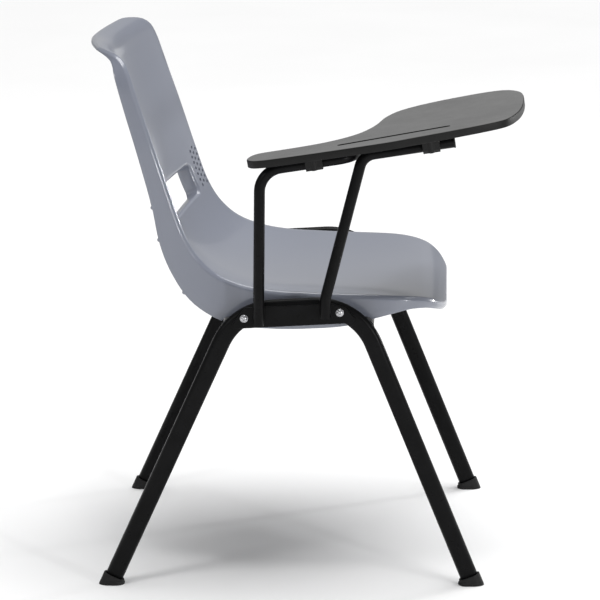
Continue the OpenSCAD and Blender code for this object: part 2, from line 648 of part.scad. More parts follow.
// The edge's section, from the underside to the top: [height, distance in from the outline].
edge_section = [[0, 1], [1, 0], [board_t - 2, 0], [board_t - 0.6, 0.6], [board_t, 2]];
layer_n = len(edge_section);
module board_body() {
    points = [for (l = edge_section) for (i = [0:edge_count - 1])
        let (p = board_edge[i] + inward(i) * l[1]) [p.x, p.y, under + l[0]]];
    sides = [for (k = [0:layer_n - 2]) for (i = [0:edge_count - 1]) let (j = (i + 1) % edge_count)
        [k * edge_count + i, (k + 1) * edge_count + i, (k + 1) * edge_count + j, k * edge_count + j]];
    polyhedron(points, concat(sides, [[for (i = [0:edge_count - 1]) i],
        [for (i = [edge_count - 1:-1:0]) (layer_n - 1) * edge_count + i]]), convexity = 6);
}
groove = [[-12, -90], [9, -252]];
groove_r = 4.5;
module tablet_board() {
    // The resize changes nothing: it makes one mesh of the board, its groove and its pilot holes.
    color(plastic_black) on_axis() resize([0, 0, 0]) difference() {
        board_body();
        hull() for (p = groove)
            translate([p.x, p.y, under + board_t]) sphere(r = groove_r, $fn = 24);
        for (y = [rear_block_y, front_block_y]) translate([0, y, 0]) block_screw_places()
            translate([0, 0, under - 1]) cylinder(r = 2.05, h = 7, $fn = 24);
    }
}

seat_shell();
right_leg_arch();
left_leg_arch();
front_cross_tube();
rear_cross_tube();
shell_screws();
shell_washers();
front_right_glide();
front_left_glide();
rear_right_glide();
rear_left_glide();
arm_side_plate();
rear_arm_tube();
front_arm_tube();
arm_bolts();
arm_bolt_washers();
rivet_nuts();
front_rail_plug();
rest_buffer();
stop_pins();
tablet_board();
rear_pivot_block();
front_pivot_block();
rear_wear_pad();
front_wear_pad();
pivot_screws();
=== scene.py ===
import json
import math

import bmesh
import bpy
import numpy as np
from mathutils import Matrix, Vector
from mathutils.geometry import delaunay_2d_cdt

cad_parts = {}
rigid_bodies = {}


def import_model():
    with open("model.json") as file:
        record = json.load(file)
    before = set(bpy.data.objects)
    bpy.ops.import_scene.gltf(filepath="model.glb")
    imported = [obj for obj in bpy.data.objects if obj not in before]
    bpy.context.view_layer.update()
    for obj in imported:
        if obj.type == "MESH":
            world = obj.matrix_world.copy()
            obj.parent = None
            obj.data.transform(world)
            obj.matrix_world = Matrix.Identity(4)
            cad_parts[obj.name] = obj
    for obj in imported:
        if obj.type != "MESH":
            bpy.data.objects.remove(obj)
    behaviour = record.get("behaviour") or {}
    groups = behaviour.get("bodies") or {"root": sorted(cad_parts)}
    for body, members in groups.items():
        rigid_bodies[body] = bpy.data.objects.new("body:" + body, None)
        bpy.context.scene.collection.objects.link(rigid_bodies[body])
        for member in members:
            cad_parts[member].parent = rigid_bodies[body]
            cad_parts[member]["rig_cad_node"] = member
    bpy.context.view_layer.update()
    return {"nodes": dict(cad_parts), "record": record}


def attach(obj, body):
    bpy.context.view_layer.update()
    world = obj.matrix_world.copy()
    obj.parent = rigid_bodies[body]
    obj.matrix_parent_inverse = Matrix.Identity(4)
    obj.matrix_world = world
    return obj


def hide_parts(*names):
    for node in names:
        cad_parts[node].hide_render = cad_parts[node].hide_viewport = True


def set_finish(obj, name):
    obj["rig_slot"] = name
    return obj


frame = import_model()
MM = 0.001
MERGE_DIST = 2e-6
RIGHT, LEFT = -1, 1


# ---------- small helpers ----------
def unit(v):
    v = np.asarray(v, float)
    return v / np.linalg.norm(v, axis=-1, keepdims=True)


def dircos(deg):
    return math.cos(math.radians(deg)), math.sin(math.radians(deg))


def smoothstep(k):
    return k * k * (3 - 2 * k)


def new_object(name, verts, faces):
    """An object from vertices in millimetres in the row frame."""
    mesh = bpy.data.meshes.new(name)
    mesh.from_pydata([tuple(float(c) * MM for c in v) for v in verts], [], [tuple(f) for f in faces])
    obj = bpy.data.objects.new(name, mesh)
    bpy.context.scene.collection.objects.link(obj)
    return obj


def mesh_piece(name, verts, faces, body, slot, nodes=(), smooth_deg=35):
    """A new piece of the chair, which takes the place of the CAD nodes named."""
    obj = new_object(name, verts, faces)
    finish_mesh(obj, smooth_deg)
    own(obj, body, slot, nodes)
    return obj


def shade(obj, smooth_deg):
    """Smooth shading, except across edges that turn by more than smooth_deg."""
    obj.data.polygons.foreach_set("use_smooth", [True] * len(obj.data.polygons))
    obj.data.set_sharp_from_angle(angle=math.radians(smooth_deg))


def finish_mesh(obj, smooth_deg):
    bm = bmesh.new()
    bm.from_mesh(obj.data)
    bmesh.ops.remove_doubles(bm, verts=bm.verts, dist=MERGE_DIST)
    bmesh.ops.recalc_face_normals(bm, faces=bm.faces)
    bm.to_mesh(obj.data)
    bm.free()
    shade(obj, smooth_deg)


def own(obj, body, slot, nodes=()):
    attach(obj, body)
    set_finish(obj, slot)
    if nodes:
        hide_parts(*nodes)


def rounded_copy(name, node, voxel_mm, rounds, body, slot):
    """A CAD node's shape with its edges rounded, as a moulded or pressed piece has them."""
    src = frame["nodes"][node]
    obj = bpy.data.objects.new(name, src.data.copy())
    bpy.context.scene.collection.objects.link(obj)
    for kind, setup in (("REMESH", {"mode": "VOXEL", "voxel_size": voxel_mm * MM}),
                        ("SMOOTH", {"factor": 0.5, "iterations": rounds})):
        mod = obj.modifiers.new(kind.lower(), kind)
        for key, value in setup.items():
            setattr(mod, key, value)
    depsgraph = bpy.context.evaluated_depsgraph_get()
    mesh = bpy.data.meshes.new_from_object(obj.evaluated_get(depsgraph))
    obj.modifiers.clear()
    obj.data = mesh
    obj.data.materials.clear()
    finish_mesh(obj, 60)
    own(obj, body, slot, [node])
    return obj


# ---------- tubes ----------
def tube_path(start, heading, side, steps, bend_step=3.0):
    """Points along a tube that runs straight and bends. A step is a length, or (angle, radius, roll).
    side is the direction that an unrolled bend turns towards. All in millimetres."""
    p, h = np.array(start, float), unit(heading)
    n = unit(np.asarray(side, float) - h * np.dot(side, h))
    points = [p.copy()]
    for step in steps:
        if np.isscalar(step):
            p = p + h * step
            points.append(p.copy())
            continue
        angle, radius, roll = step
        c, s = dircos(roll)
        toward = n * c + np.cross(h, n) * s
        centre = p + toward * radius
        count = max(4, int(round(angle / bend_step)))
        for k in range(1, count + 1):
            ca, sa = dircos(angle * k / count)
            points.append(centre - toward * radius * ca + h * radius * sa)
        ca, sa = dircos(angle)
        h, toward = h * ca + toward * sa, toward * ca - h * sa
        c, s = dircos(-roll)
        n = toward * c + np.cross(h, toward) * s
        p = points[-1].copy()
    return np.array(points)


def sweep(points, first_side, section):
    """Rings of a section carried along a path. The section's first axis starts along first_side."""
    t = np.gradient(points, axis=0)
    t[0], t[-1] = points[1] - points[0], points[-1] - points[-2]
    legs = unit(np.diff(points, axis=0))
    t[1:-1] = unit(legs[:-1] + legs[1:])
    t = unit(t)
    a = unit(first_side)
    rings = []
    for k in range(len(points)):
        a = unit(a - t[k] * np.dot(a, t[k]))
        b = np.cross(t[k], a)
        stretch = 1.0
        if 0 < k < len(points) - 1:
            stretch = 1.0 / max(0.5, float(np.dot(t[k], legs[k])))
        rings.append(points[k] + (section[:, :1] * stretch) * a + section[:, 1:] * b)
    return rings


def loft(rings):
    """Vertices and faces of a run of equal rings, with flat ends."""
    n = len(rings[0])
    verts = np.concatenate(rings)
    faces = [(k * n + i, k * n + (i + 1) % n, (k + 1) * n + (i + 1) % n, (k + 1) * n + i)
             for k in range(len(rings) - 1) for i in range(n)]
    faces += [tuple(range(n - 1, -1, -1)), tuple(range((len(rings) - 1) * n, len(rings) * n))]
    return verts, faces


def loop_loft(rings):
    """Like loft, but the last ring joins the first, as for a hollow tube: out along it and back inside."""
    n, m = len(rings[0]), len(rings)
    verts = np.concatenate(rings)
    faces = [(k * n + i, k * n + (i + 1) % n, (k + 1) % m * n + (i + 1) % n, (k + 1) % m * n + i)
             for k in range(m) for i in range(n)]
    return verts, faces


LIP_SHARE, LIP_REACH = 0.8, 0.25


def hollow(points, side, outer, inner):
    """A tube with a wall: the outer rings, then the inner ones back. Its ends are softened by a lip
    that is a share of the wall and reaches a little past it."""
    out, back = sweep(points, side, outer), sweep(points, side, inner)
    mid = (outer + inner) / 2
    lip = sweep(points, side, mid + (outer - mid) * LIP_SHARE)
    lip_in = sweep(points, side, mid + (inner - mid) * LIP_SHARE)
    ends = []
    for k, way in ((-1, 1), (0, -1)):
        shift = unit(points[k] - points[k - way]) * LIP_REACH
        ends.append((lip[k] + shift, lip_in[k] + shift))
    return loop_loft(out + [ends[0][0], ends[0][1]] + back[::-1] + [ends[1][1], ends[1][0]])


def circle(r, n=40):
    a = np.linspace(0, 2 * math.pi, n, endpoint=False)
    return np.stack([np.cos(a), np.sin(a)], 1) * r


def flat_oval(w, t, n=20):
    """Section of a flattened tube, w along its first axis."""
    a = np.linspace(-math.pi / 2, math.pi / 2, n)
    right = np.stack([np.cos(a) * t / 2 + (w - t) / 2, np.sin(a) * t / 2], 1)
    return np.concatenate([right, -right])


# ---------- measures that the CAD source fixes, in millimetres ----------
ARCH_X = 246.0
ARCH_H, ARCH_T, ARCH_WALL = 28.0, 16.0, 1.6
ARCH_R = 94.0
FRONT_FOOT, REAR_FOOT = np.array([-283.5, 0.0]), np.array([285.0, 0.0])
ARCH_FRONT, ARCH_REAR = np.array([-107.5, 452.4]), np.array([78.6, 443.4])
LEG_END_Z = 6.0
ARM_D, ARM_WALL = 17.0, 1.5
PLATE_T = 3.0
POST_X = -(ARCH_X + ARCH_T / 2 + PLATE_T + ARM_D / 2)
RAIL_SLOPE, AXIS_Z = 8.4, 670.3


def yz(p, x=0.0):
    return np.array([x, p[0], p[1]])


def turn(a, b):
    return math.degrees(math.acos(float(np.clip(np.dot(a, b), -1, 1))))


# ---------- the shell ----------
# Along the side crease: y, z, depth of the skirt, dish at the middle.
STATIONS = np.array([
    [-243.5, 428, 11, 2], [-229, 441.5, 13, 4], [-211, 451, 16, 6], [-186, 456, 20, 10],
    [-142, 459, 34, 14], [-93, 461, 49, 17], [-35, 463.5, 56, 19], [25, 467.5, 60, 22],
    [72, 477, 64, 26], [110, 494, 59, 33], [138, 521, 48.5, 41], [157.5, 556, 41, 46],
    [174.5, 607, 33, 48], [200, 689, 28, 47], [224, 764, 25, 46], [236, 804, 23, 45],
    [241, 820, 19, 44], [250, 831, 13, 43], [266, 838, 6, 42]], float)
CHORD = np.concatenate([[0], np.cumsum(np.linalg.norm(np.diff(STATIONS[:, :2], axis=0), axis=1))])
LENGTH = CHORD[-1]
SLOPES = np.empty_like(STATIONS)
SLOPES[1:-1] = (STATIONS[2:] - STATIONS[:-2]) / (CHORD[2:] - CHORD[:-2])[:, None]
SLOPES[0] = (STATIONS[1] - STATIONS[0]) / (CHORD[1] - CHORD[0])
SLOPES[-1] = (STATIONS[-1] - STATIONS[-2]) / (CHORD[-1] - CHORD[-2])
HALF_W, SHELL_T, CREASE_R = 214.0, 4.0, 7.0
FRONT_R, TOP_R = 108.0, 66.0
TAPER_START, TOP_TAPER = 593.0, 10.0
# The dish is flatter across the seat than across the back, and changes over from s = 293 to s = 413.
SEAT_POWER, BACK_POWER, BLEND_START, BLEND_LEN = 2.3, 1.65, 293.0, 120.0
# The dish keeps one direction over the first part of the seat, and turns a little at the top of the back.
STEADY_LEN, CROWN_LEN, CROWN_TURN = 50.0, 62.0, 8.0
DRAFT = 0.045


def side_w(s):
    """Half width between the side creases, which draw in up the back."""
    return HALF_W - TOP_TAPER * np.maximum(0, np.asarray(s, float) - TAPER_START) / (LENGTH - TAPER_START)


def dish_power(s):
    k = np.clip((np.asarray(s, float) - BLEND_START) / BLEND_LEN, 0, 1)
    return SEAT_POWER + (BACK_POWER - SEAT_POWER) * smoothstep(k)


def profile(s):
    s = np.clip(np.asarray(s, float), 0, LENGTH)
    i = np.clip(np.searchsorted(CHORD, s, "right") - 1, 0, len(CHORD) - 2)
    h = (CHORD[i + 1] - CHORD[i])[..., None]
    u = (s - CHORD[i])[..., None] / h
    return (STATIONS[i] * (2 * u**3 - 3 * u**2 + 1) + STATIONS[i + 1] * (3 * u**2 - 2 * u**3)
            + SLOPES[i] * h * (u**3 - 2 * u**2 + u) + SLOPES[i + 1] * h * (u**3 - u**2))


def tangent(s):
    """Unit direction of the side crease, as (y, z)."""
    s = np.asarray(s, float)
    return unit(profile(np.minimum(s + 1, LENGTH))[..., :2] - profile(np.maximum(s - 1, 0))[..., :2])


def pan(s, x):
    """A point of the sitter's side of the pan."""
    s, x = np.asarray(s, float), np.asarray(x, float)
    p, t = profile(s), tangent(np.clip(s, STEADY_LEN, LENGTH - CROWN_LEN))
    k = np.clip((s - LENGTH + CROWN_LEN) / CROWN_LEN, 0, 1)
    a = np.radians(CROWN_TURN * smoothstep(k))
    depth = p[..., 3] * (1 - np.minimum(np.abs(x) / side_w(s), 1) ** dish_power(s))
    return np.stack([x, p[..., 0] + depth * (t[..., 1] * np.cos(a) + t[..., 0] * np.sin(a)),
                     p[..., 1] + depth * (-t[..., 0] * np.cos(a) + t[..., 1] * np.sin(a))], -1)


def pan_normal(s, x):
    s, x = np.asarray(s, float), np.asarray(x, float)
    across = pan(s, x + 1) - pan(s, x - 1)
    along = pan(np.minimum(s + 1, LENGTH), x) - pan(np.maximum(s - 1, 0), x)
    return unit(np.cross(across, along))


def arc2(cx, cs, r, a0, a1, n):
    a = np.radians(np.linspace(a0, a1, n))
    return np.stack([cx + r * np.cos(a), cs + r * np.sin(a)], 1)


def walk(points, step):
    """A closed outline with its long sides cut into steps."""
    out = []
    for a, b in zip(points, np.roll(points, -1, axis=0)):
        n = max(1, int(round(np.linalg.norm(b - a) / step)))
        out += [a + (b - a) * k / n for k in range(n)]
    return np.array(out)


def rounded_outline(half, s0, s1, r0, r1, step, n=13):
    """Anticlockwise outline in (x, s) with corner radius r0 at s0 and r1 at s1."""
    corners = [arc2(half - r0, s0 + r0, r0, -90, 0, n), arc2(half - r1, s1 - r1, r1, 0, 90, n),
               arc2(-half + r1, s1 - r1, r1, 90, 180, n), arc2(-half + r0, s0 + r0, r0, 180, 270, n)]
    return walk(np.concatenate(corners), step)


def outline_normals(points):
    d = np.roll(points, -1, axis=0) - np.roll(points, 1, axis=0)
    return unit(np.stack([d[:, 1], -d[:, 0]], 1))


def ledge(r):
    """The turn from the pan to the skirt: a narrow sloping ledge between two softly rounded edges."""
    corner, soft = 0.29 * r, 0.70 * r
    reach = soft * math.tan(math.radians(22.5))
    a = np.radians(np.linspace(0, 45, 5))
    first = [(corner - reach + soft * math.sin(k), soft * (1 - math.cos(k))) for k in a]
    return first + [(r - v, r - u) for u, v in first[::-1]]


def edge_section(r, depth, draft, t=SHELL_T):
    """Section of an edge turned back, as (outwards, back) from the pan's edge: it runs down the outside
    and up the inside."""
    a = np.radians(np.linspace(90 / 8, 90, 8))
    ri = r - t
    outside = ledge(r)
    straight = max(depth - r, 0.5)
    outside += [(r + draft * straight * u, r + straight * u) for u in (0.33, 0.66)]
    tip = np.array([r + draft * straight, r + straight])
    lip_r = 1.2
    cut_in = 0.35 * lip_r
    lip = [tip + (0, -lip_r), tip + (-cut_in, -cut_in), tip + (-lip_r, 0), tip + (-t + lip_r, 0),
           tip + (-t + cut_in, -cut_in), tip + (-t, -lip_r)]
    inside = [(r + draft * straight * u - t, r + straight * u) for u in (0.66, 0.33)]
    inside += [(ri * math.sin(k), r - ri * math.cos(k)) for k in a[::-1]]
    return np.array(outside + [tuple(v) for v in lip] + inside)


SLOT_HALF, SLOT_S = 179.0, (430.0, 488.0)
SLOT_CORNER, SLOT_R = 15.0, 6.0
COLLAR_MID, COLLAR_RISE = 15.0, 11.0
VENT_R, VENT_PITCH, VENT_START, VENT_ROWS = 2.8, 9.8, 440.5, 7
VENT_X, VENT_GAP, VENT_COLS = 190.5, 9.2, 3


def slot_depth(x):
    """The collar round the hand opening is deepest at its two ends."""
    return COLLAR_MID + COLLAR_RISE * (x / SLOT_HALF) ** 2


def vent_places():
    """Three columns of holes on each side of the slot, the middle one staggered."""
    return [(side * (VENT_X + c * VENT_GAP), VENT_START + (k + (0.5 if c == 1 else 0)) * VENT_PITCH)
            for side in (RIGHT, LEFT) for k in range(VENT_ROWS) for c in range(VENT_COLS)]


def build_shell():
    step, edge_gap, vent_gap = 6.5, 3.0, 1.6
    edge = rounded_outline(HALF_W, 0, LENGTH, FRONT_R, TOP_R, step)
    edge[:, 0] *= side_w(edge[:, 1]) / HALF_W
    slot = rounded_outline(SLOT_HALF, *SLOT_S, SLOT_CORNER, SLOT_CORNER, step)[::-1]
    vents = [np.array((cx, cs)) + circle(VENT_R, 14)[::-1] for cx, cs in vent_places()]
    loops = [edge, slot] + vents

    gx = np.linspace(-HALF_W, HALF_W, int(2 * HALF_W / step))
    gs = np.linspace(0, LENGTH, int(LENGTH / step))
    grid = np.stack(np.meshgrid(gx, gs), -1).reshape(-1, 2)

    def near(points, loop, gap):
        a, b = loop, np.roll(loop, -1, axis=0)
        ab, ap = b - a, points[:, None] - a
        u = np.clip((ap * ab).sum(-1) / (ab * ab).sum(-1), 0, 1)
        return (np.linalg.norm(ap - u[..., None] * ab, axis=-1) < gap).any(1)

    def inside(points, loop):
        a, b = loop, np.roll(loop, -1, axis=0)
        x, y = points[:, :1], points[:, 1:]
        crosses = (a[:, 1] > y) != (b[:, 1] > y)
        rise = np.where(np.abs(b[:, 1] - a[:, 1]) < 1e-9, 1e-9, b[:, 1] - a[:, 1])
        at = (b[:, 0] - a[:, 0]) * (y - a[:, 1]) / rise + a[:, 0]
        return ((crosses & (x < at)).sum(1) % 2).astype(bool)

    keep = inside(grid, edge) & ~near(grid, edge, edge_gap)
    keep &= ~inside(grid, slot) & ~near(grid, slot, edge_gap)
    for loop in vents:
        keep &= ~(np.linalg.norm(grid - loop.mean(0), axis=1) < VENT_R + vent_gap)
    points = np.concatenate(loops + [grid[keep]])
    starts = np.cumsum([0] + [len(v) for v in loops])
    edges = [(start + i, start + (i + 1) % len(v)) for start, v in zip(starts, loops) for i in range(len(v))]
    coords, _, tris, origin, _, _ = delaunay_2d_cdt([Vector(p) for p in points], edges, [], 0, 1e-6)
    if len(coords) != len(points) or any(o != [i] for i, o in enumerate(origin)):
        raise RuntimeError("the shell's outline crosses itself")
    centres = np.array([np.mean([points[i] for i in f], axis=0) for f in tris])
    solid = inside(centres, edge) & ~inside(centres, slot)
    for loop in vents:
        solid &= ~inside(centres, loop)
    tris = [f for f, ok in zip(tris, solid) if ok]

    x, s = points[:, 0], points[:, 1]
    front = pan(s, x)
    rear = front - SHELL_T * pan_normal(s, x)
    count = len(points)
    verts, faces = [front, rear], [tuple(f) for f in tris] + [tuple(i + count for i in f[::-1]) for f in tris]
    base = 2 * count

    def strip(k, section_of):
        nonlocal base
        loop, first = loops[k], starts[k]
        normal2 = outline_normals(loop)
        t = tangent(loop[:, 1])
        out = unit(np.stack([normal2[:, 0], normal2[:, 1] * t[:, 0], normal2[:, 1] * t[:, 1]], 1))
        back = np.stack([np.zeros(len(loop)), t[:, 1], -t[:, 0]], 1)
        sections = np.array([section_of(v) for v in loop])
        n, m = len(loop), sections.shape[1]
        rings = [list(range(first, first + n))]
        for j in range(m):
            q = sections[:, j]
            verts.append(front[first:first + n] + q[:, :1] * out + q[:, 1:] * back)
            rings.append(list(range(base, base + n)))
            base += n
        rings.append(list(range(count + first, count + first + n)))
        for lower, upper in zip(rings, rings[1:]):
            faces.extend((lower[i], lower[(i + 1) % n], upper[(i + 1) % n], upper[i]) for i in range(n))

    strip(0, lambda v: edge_section(CREASE_R, float(profile(v[1])[2]), DRAFT))
    strip(1, lambda v: edge_section(SLOT_R, slot_depth(v[0]), -DRAFT))
    for k in range(2, len(loops)):
        n, first = len(loops[k]), starts[k]
        faces.extend((first + i, first + (i + 1) % n, count + first + (i + 1) % n, count + first + i)
                     for i in range(n))
    shell = mesh_piece("shell", np.concatenate(verts), faces, "chair", "shell_plastic", ["seat_shell"], 40)
    cut_notches(shell)


# ---------- legs ----------
REAR_DIR, FRONT_DIR = unit(ARCH_REAR - REAR_FOOT), unit(FRONT_FOOT - ARCH_FRONT)
TOP_DIR = unit(ARCH_FRONT - ARCH_REAR)
REAR_TURN, FRONT_TURN = turn(REAR_DIR, TOP_DIR), turn(TOP_DIR, FRONT_DIR)
REAR_CUT = ARCH_R * math.tan(math.radians(REAR_TURN / 2))
FRONT_CUT = ARCH_R * math.tan(math.radians(FRONT_TURN / 2))
REAR_START = REAR_FOOT + REAR_DIR * (LEG_END_Z / REAR_DIR[1])
FRONT_STOP = FRONT_FOOT - FRONT_DIR * (LEG_END_Z / -FRONT_DIR[1])
REAR_BEND_C = ARCH_REAR - REAR_DIR * REAR_CUT + ARCH_R * np.array([-REAR_DIR[1], REAR_DIR[0]])
FRONT_BEND_C = ARCH_FRONT + FRONT_DIR * FRONT_CUT - ARCH_R * np.array([FRONT_DIR[1], -FRONT_DIR[0]])


def on_bend(centre, deg):
    return centre + ARCH_R * np.array(dircos(deg))


REAR_CROSS, FRONT_CROSS = on_bend(REAR_BEND_C, 40), on_bend(FRONT_BEND_C, 143)
CROSS_D, CROSS_WALL = 25.0, 1.8
CROSS_HALF = ARCH_X - ARCH_T / 2
BEAD_R, BEAD_INSET, BEAD_RIPPLES = 1.5, 1.3, 26
NOTCH_GAP, NOTCH_DROP, NOTCH_X, NOTCH_HALF = 2.5, 40, 190, 45
SCREW_X = 110.0


def build_arch(side, name, node):
    path = tube_path(yz(REAR_START, side * ARCH_X), yz(REAR_DIR), (0, -1, 0), [
        np.linalg.norm(ARCH_REAR - REAR_START) - REAR_CUT, (REAR_TURN, ARCH_R, 0),
        np.linalg.norm(ARCH_FRONT - ARCH_REAR) - REAR_CUT - FRONT_CUT, (FRONT_TURN, ARCH_R, 0),
        np.linalg.norm(FRONT_STOP - ARCH_FRONT) - FRONT_CUT], 1.5)
    first = np.cross((1, 0, 0), yz(REAR_DIR))
    inner = flat_oval(ARCH_H - 2 * ARCH_WALL, ARCH_T - 2 * ARCH_WALL)
    verts, faces = hollow(path, first, flat_oval(ARCH_H, ARCH_T), inner)
    return mesh_piece(name, verts, faces, "chair", "frame_paint", [node])


def ripple_ring(centre, axis, radius, bead, ripples):
    """A weld bead round a tube: a ring whose thickness ripples as a run of weld does."""
    axis = unit(axis)
    u = unit(np.cross(axis, (0, 0, 1)))
    v = np.cross(axis, u)
    steps, n = 160, 14
    rings = []
    for k in range(steps):
        a = 2 * math.pi * k / steps
        wave = 1 + 0.10 * math.sin(ripples * a) + 0.05 * math.sin(2.3 * ripples * a + 1)
        d = u * math.cos(a) + v * math.sin(a)
        rings.append([centre + d * (radius + bead * wave * math.cos(b)) + axis * bead * wave * math.sin(b)
                      for b in np.linspace(0, 2 * math.pi, n, endpoint=False)])
    return loop_loft([np.array(r) for r in rings])


def merge(parts):
    verts, faces, base = [], [], 0
    for v, f in parts:
        verts.append(np.asarray(v, float))
        faces += [tuple(i + base for i in face) for face in f]
        base += len(v)
    return np.concatenate(verts), faces


def build_cross_tube(p, name, node):
    path = np.array([yz(p, x) for x in (-CROSS_HALF, -CROSS_HALF + 2, 0, CROSS_HALF - 2, CROSS_HALF)])
    parts = [hollow(path, (0, 0, 1), circle(CROSS_D / 2, 64), circle(CROSS_D / 2 - CROSS_WALL, 64))]
    for side in (RIGHT, LEFT):
        middle = yz(p, side * (CROSS_HALF - BEAD_INSET))
        parts.append(ripple_ring(middle, (1, 0, 0), CROSS_D / 2, BEAD_R, BEAD_RIPPLES))
    return mesh_piece(name, *merge(parts), "chair", "frame_paint", [node])


def cut(obj, verts, faces, smooth_deg=40):
    """Takes a closed shape out of a piece, and leaves nothing behind."""
    tool = new_object("cutter", verts, faces)
    bm = bmesh.new()
    bm.from_mesh(tool.data)
    bmesh.ops.recalc_face_normals(bm, faces=bm.faces)
    bm.to_mesh(tool.data)
    bm.free()
    mod = obj.modifiers.new("cut", "BOOLEAN")
    mod.operation, mod.solver, mod.object = "DIFFERENCE", "EXACT", tool
    mesh = bpy.data.meshes.new_from_object(obj.evaluated_get(bpy.context.evaluated_depsgraph_get()))
    obj.modifiers.clear()
    obj.data = mesh
    bpy.data.objects.remove(tool)
    shade(obj, smooth_deg)


def cut_notches(shell):
    """The skirt's clearance round the two cross tubes: round above, open below."""
    r = CROSS_D / 2 + NOTCH_GAP
    arch = np.radians(np.linspace(0, 180, 25))
    section = [(r * math.cos(a), r * math.sin(a)) for a in arch] + [(-r, -NOTCH_DROP), (r, -NOTCH_DROP)]
    parts = []
    for p in (FRONT_CROSS, REAR_CROSS):
        for side in (RIGHT, LEFT):
            rings = [np.array([(x, p[0] + q[0], p[1] + q[1]) for q in section])
                     for x in (side * NOTCH_X - NOTCH_HALF, side * NOTCH_X + NOTCH_HALF)]
            parts.append(loft(rings))
    cut(shell, *merge(parts))


# ---------- nubs and bosses of the shell ----------
NUB_S, NUB_R, NUB_INSET = (383.5, 452.5, 501.0), 3.2, 1.0
BOSS_R, BOSS_GAP = 9.0, 0.02
SEAT_S = np.arange(40, 440, 1.0)


def build_nubs():
    """Small rounded studs on the rear edge of each side skirt."""
    parts = []
    for s in NUB_S:
        y, z, depth, _ = profile(s)
        t = tangent(s)
        reach = CREASE_R + DRAFT * (depth - CREASE_R) - SHELL_T
        centre = np.array([y, z]) + np.array([t[1], -t[0]]) * (depth - NUB_INSET)
        for side in (RIGHT, LEFT):
            x0, x1 = HALF_W + reach - 3, HALF_W + reach + SHELL_T
            rings = []
            for x, k in ((x0, 0.75), (x0 + 0.6, 0.95), (x0 + 1.4, 1),
                         (x1 - 1.4, 1), (x1 - 0.5, 0.93), (x1, 0.75)):
                rings.append(np.array([yz(centre + NUB_R * k * c, side * x) for c in circle(1, 28)]))
            parts.append(loft(rings))
    mesh_piece("stacking_nubs", *merge(parts), "chair", "shell_plastic")


def build_bosses():
    """Bosses under the pan, standing on the cross tubes, that the pan's screws run into."""
    parts = []
    for p in (FRONT_CROSS, REAR_CROSS):
        for side in (RIGHT, LEFT):
            ring = circle(BOSS_R, 40)
            x, y = side * SCREW_X + ring[:, 0], p[0] + ring[:, 1]
            saddle = p[1] + np.sqrt((CROSS_D / 2 + BOSS_GAP) ** 2 - (y - p[0]) ** 2)
            top = []
            for px, py in zip(x, y):
                line = pan(SEAT_S, np.full(len(SEAT_S), px))
                top.append(np.interp(py, line[:, 1], line[:, 2]) - SHELL_T / 2)
            top = np.array(top)
            rings = [np.stack([x, y, saddle], 1), np.stack([x, y, saddle * 0.35 + (top - 5) * 0.65], 1)]
            # The foot of the boss flares out where it meets the pan.
            for flare, drop in ((1.0, 5.3), (1.04, 3.8), (1.12, 2.8), (1.25, 2.0)):
                wide = ring * flare
                rings.append(np.stack([side * SCREW_X + wide[:, 0], p[0] + wide[:, 1], top - drop], 1))
            rings.append(np.stack([x, y, top], 1))
            parts.append(loft(rings))
    mesh_piece("shell_bosses", *merge(parts), "chair", "shell_plastic")


# ---------- tablet arm ----------
RAIL = np.array([-dircos(RAIL_SLOPE)[0], dircos(RAIL_SLOPE)[1]])
AXIS_0 = np.array([0, AXIS_Z])
REAR_POST = (np.array([43.0, 424.0]), np.array([38.5, 606.0]))
FRONT_POST_FOOT, FRONT_KINK, FRONT_POST_LEAN = np.array([-59.5, 435.5]), np.array([-59.5, 465.0]), 14.9
REAR_BEND, FRONT_BEND, KINK_R = 38.0, 26.0, 60.0
REST_START, REST_BEND, REST_END, RAIL_END = 81.0, 28.0, 9.0, 258.0


def cross2(a, b):
    return a[0] * b[1] - a[1] * b[0]


def meet(p, d, q, e):
    """Where the line from p along d crosses the line from q along e."""
    return p + d * cross2(q - p, e) / cross2(d, e)


def rail_length(p):
    """How far along the rails' axis a point lies."""
    return float(np.dot(p - AXIS_0, RAIL))


def on_axis(points):
    """From the pivot's own frame (y rearwards along the axis, z square to the board) to the row frame."""
    c, s = dircos(-RAIL_SLOPE)
    p = np.asarray(points, float)
    x, y, z = p[..., 0], p[..., 1], p[..., 2]
    return np.stack([x + POST_X, y * c - z * s, AXIS_Z + y * s + z * c], -1)


